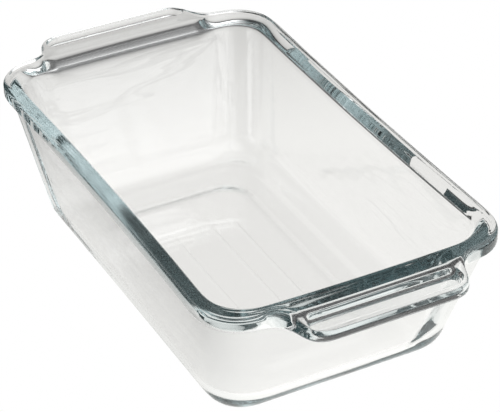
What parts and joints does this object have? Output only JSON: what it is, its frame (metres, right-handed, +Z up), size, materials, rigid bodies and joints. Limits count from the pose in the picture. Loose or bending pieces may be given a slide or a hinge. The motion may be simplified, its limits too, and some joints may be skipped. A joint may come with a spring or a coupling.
{
  "type": "loaf pan",
  "caption": "Clear pressed glass loaf pan with sloping walls, rounded corners, a thick rim and a recessed grip handle at each end.",
  "frame": {"origin": "middle of the underside, on the level the pan stands on", "axes": "+X along the length, through both handles; +Y across the pan; +Z up, out of the mouth"},
  "size_m": [0.2784, 0.1438, 0.07],
  "materials": {
    "clear_glass": "clear, smooth, fire polished soda-lime glass with a faint blue-green tint"
  },
  "bodies": {
    "root": {"glass_dish": "clear_glass"}
  },
  "joints": []
}
